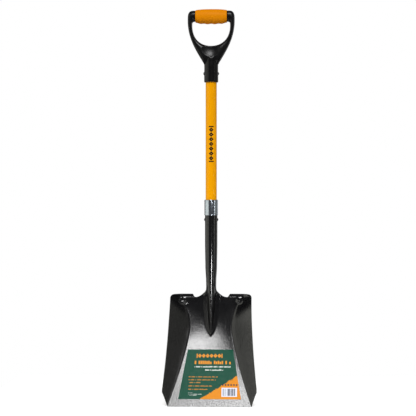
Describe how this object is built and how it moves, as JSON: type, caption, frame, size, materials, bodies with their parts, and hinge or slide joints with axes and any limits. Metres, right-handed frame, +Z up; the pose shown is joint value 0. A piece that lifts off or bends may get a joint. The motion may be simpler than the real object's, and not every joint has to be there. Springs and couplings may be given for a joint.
{
  "type": "square-mouth garden shovel",
  "caption": "Square-mouth garden shovel: pressed steel head with side walls, rolled treads and rolled socket, fibreglass shaft and moulded D-handle with a soft grip.",
  "frame": {"origin": "on the shaft's axis, at the underside of the middle of the grip, where a wall hook holds the tool", "axes": "+Z up the shaft to the handle, -Y the face that carries the load, +X to the right when facing the load face; the cutting edge is 975 mm below the origin and 98 mm in front of it"},
  "size_m": [0.2394, 0.1235, 1.0168],
  "materials": {
    "lacquered_steel": "glossy black lacquer on pressed steel, with a fine speckle on the flat of the blade",
    "zinc_plate": "bright zinc plate, faint turning lines",
    "rivet_steel": "black lacquered steel",
    "fibreglass": "yellow pultruded fibreglass, clear gloss coat",
    "core_wood": "plain dowel",
    "black_plastic": "satin moulded plastic",
    "soft_grip": "matt soft-touch rubber",
    "label_paper": "printed and varnished label"
  },
  "bodies": {
    "root": {"shovel_head": "lacquered_steel", "ferrule": "zinc_plate", "socket_rivet": "rivet_steel", "shaft": "fibreglass", "shaft_core_lower": "core_wood", "shaft_core_upper": "core_wood", "handle_yoke": "black_plastic", "grip_sleeve": "soft_grip", "handle_rivet": "rivet_steel", "blade_label": "label_paper"}
  },
  "joints": []
}
